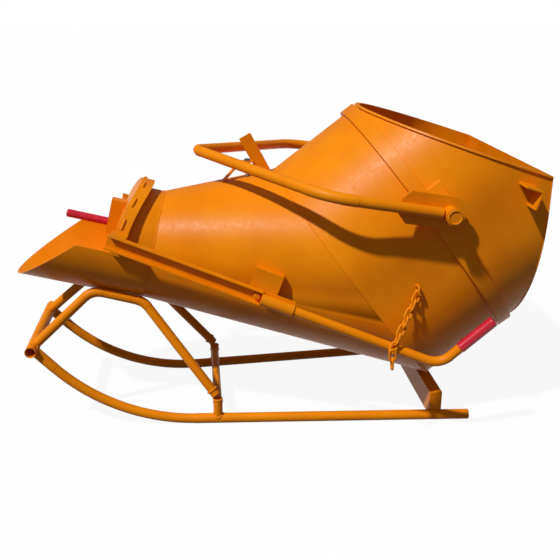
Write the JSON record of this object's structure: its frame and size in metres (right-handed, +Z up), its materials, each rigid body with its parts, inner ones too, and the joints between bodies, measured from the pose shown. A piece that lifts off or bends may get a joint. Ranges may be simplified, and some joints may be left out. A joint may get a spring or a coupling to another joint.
{
  "type": "concrete bucket",
  "caption": "Lay-down concrete bucket: tilted hopper and cone on a tubular sled, with a lifting bail, a chute and a lever-worked sector gate.",
  "frame": {"origin": "middle of the object's footprint, on the ground under the runners", "axes": "+X from the chute towards the hopper, +Z up as it lies on its sled"},
  "size_m": [2.4068, 1.3424, 1.4704],
  "materials": {
    "orange_paint": "gloss",
    "red_grip": "gloss",
    "bolt_steel": "satin"
  },
  "bodies": {
    "bucket": {"hopper_drum": "orange_paint", "back_plate": "orange_paint", "mouth_rim": "orange_paint", "stiffening_ring": "orange_paint", "cone_shell": "orange_paint", "neck_tube": "orange_paint", "chute": "orange_paint", "trunnion_near": "orange_paint", "trunnion_far": "orange_paint", "stop_lug_near": "orange_paint", "stop_lug_far": "orange_paint", "bail_rest": "orange_paint", "bail_rest_bolt": "bolt_steel", "chain_eye": "orange_paint", "runner_near": "orange_paint", "runner_far": "orange_paint", "front_cross_tube": "orange_paint", "frame_tube_near": "orange_paint", "frame_tube_far": "orange_paint", "runner_posts": "orange_paint", "post_cross_tube": "orange_paint", "rear_cross_beam": "orange_paint", "pivot_bracket_near": "orange_paint", "pivot_bracket_far": "orange_paint", "pivot_bolt_near": "orange_paint", "pivot_bolt_far": "orange_paint", "pin_cap_near": "orange_paint", "pin_cap_far": "orange_paint", "safety_chain": "orange_paint"},
    "gate": {"gate_skin": "orange_paint", "gate_hood": "orange_paint", "gate_arm_near": "orange_paint", "gate_arm_far": "orange_paint", "handle_bracket": "orange_paint", "front_handle": "orange_paint", "front_grip": "red_grip", "lever_tube": "orange_paint", "lever_sleeve": "orange_paint", "lever_grip": "red_grip", "chain_hook": "orange_paint", "chain_tail": "orange_paint"},
    "bail": {"bail_bow": "orange_paint", "bail_plate_near": "orange_paint", "bail_plate_far": "orange_paint"}
  },
  "joints": [
    {"name": "gate_swing", "type": "hinge", "parent": "bucket", "child": "gate", "pos_m": [-0.09092, 0, 0.713], "axis": [0, 1, 0], "range_deg": [0, 22], "deforming": ["safety_chain"]},
    {"name": "bail_swing", "type": "hinge", "parent": "bucket", "child": "bail", "pos_m": [0.70908, 0, 1.1], "axis": [0, 1, 0], "range_deg": [0, 146]}
  ]
}
